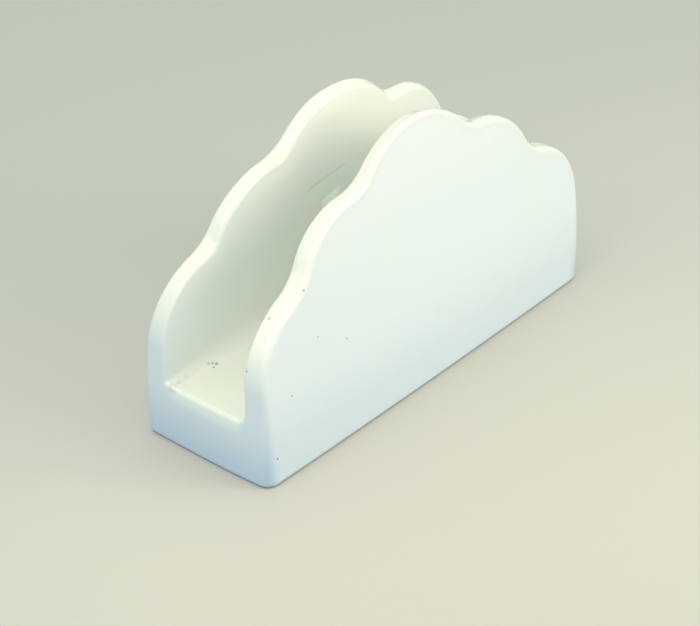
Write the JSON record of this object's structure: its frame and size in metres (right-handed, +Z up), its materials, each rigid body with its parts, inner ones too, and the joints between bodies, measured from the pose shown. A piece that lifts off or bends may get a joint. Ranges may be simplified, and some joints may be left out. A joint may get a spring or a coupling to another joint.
{
  "type": "napkin holder",
  "caption": "Glazed white ceramic napkin holder: scalloped panels lean in over a coved channel floor, with closed ends and a hollow underside.",
  "frame": {"origin": "middle of the foot, on the plane that it stands on", "axes": "+X along the channel to the right-hand end, +Y from the front panel to the back panel, +Z up"},
  "size_m": [0.153, 0.0502, 0.0876],
  "materials": {
    "front_panel": "gloss",
    "back_panel": "gloss",
    "channel_floor": "gloss",
    "end_walls": "gloss"
  },
  "bodies": {
    "root": {"front_panel": "front_panel", "back_panel": "back_panel", "channel_floor": "channel_floor", "left_end_wall": "end_walls", "right_end_wall": "end_walls"}
  },
  "joints": []
}
